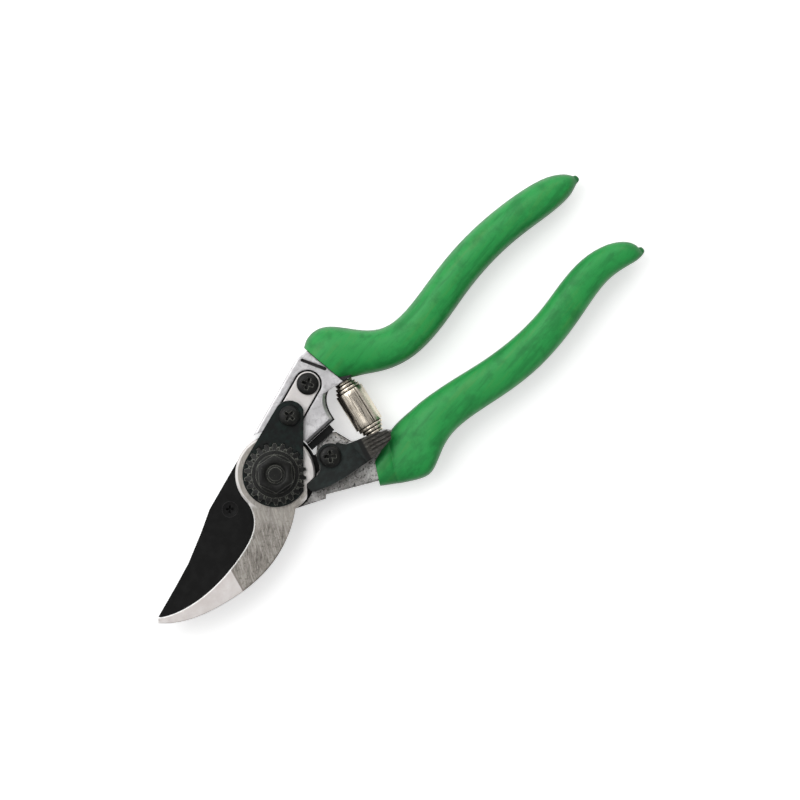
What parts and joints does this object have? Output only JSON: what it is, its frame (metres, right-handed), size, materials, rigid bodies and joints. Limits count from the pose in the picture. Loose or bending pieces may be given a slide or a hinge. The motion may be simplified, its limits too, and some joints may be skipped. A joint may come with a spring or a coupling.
{
  "type": "bypass pruner",
  "caption": "Hand pruner with a curved cutting blade passing a blunt hook, two dipped grips, a volute spring between them, a toothed pivot adjuster and a thumb catch.",
  "frame": {"origin": "on the pivot axis, in the plane of the pivot bolt's head and of the backs of both grips", "axes": "+Z along the pivot axis from the bolt's head to its nut, +X from the blade tips to the ends of the grips, +Y towards the handle that carries the hook"},
  "size_m": [0.2139, 0.0642, 0.0231],
  "materials": {
    "green_grip": "satin dipped vinyl",
    "satin_forging": "bright satin forging",
    "rough_forging": "rough speckled forging",
    "ground_steel": "ground hardened steel, light scratches",
    "blade_coating": "smooth black non-stick coating",
    "black_oxide": "black oxide",
    "black_plate": "black coating, worn satin",
    "catch_black": "black coating, worn brown-grey at the thumb pad",
    "bush_bronze": "plain bearing bronze",
    "bumper_rubber": "matt",
    "spring_nickel": "warm nickel plate"
  },
  "bodies": {
    "upper_handle": {"upper_forging": "satin_forging", "upper_grip": "green_grip", "hook_blade": "ground_steel", "tang_screw": "black_oxide", "plate_screw": "black_oxide", "locking_plate": "black_plate", "adjuster_ring": "black_oxide", "pivot_nut": "black_oxide", "pivot_bolt": "black_oxide", "upper_spring_peg": "satin_forging"},
    "lower_handle": {"lower_forging": "rough_forging", "lower_grip": "green_grip", "cutting_blade": "blade_coating", "blade_screw": "blade_coating", "pivot_bush": "bush_bronze", "back_washer": "black_oxide", "bumper": "bumper_rubber", "latch_screw": "black_oxide", "latch_washer": "blade_coating", "lower_spring_peg": "rough_forging", "return_spring": "spring_nickel"},
    "thumb_catch": {"latch_lever": "catch_black"}
  },
  "joints": [
    {"name": "pivot", "type": "hinge", "parent": "upper_handle", "child": "lower_handle", "pos_m": [0, 0, 0.0072], "axis": [0, 0, -1], "range_deg": [0, 36], "deforming": ["return_spring"]},
    {"name": "catch", "type": "hinge", "parent": "lower_handle", "child": "thumb_catch", "pos_m": [0.0184, -0.0084, 0.0127], "axis": [0, 0, 1], "range_deg": [0, 22]}
  ],
  "couplings": [
    {"joint": "catch", "follows": "pivot", "ratio": 0.61111}
  ]
}
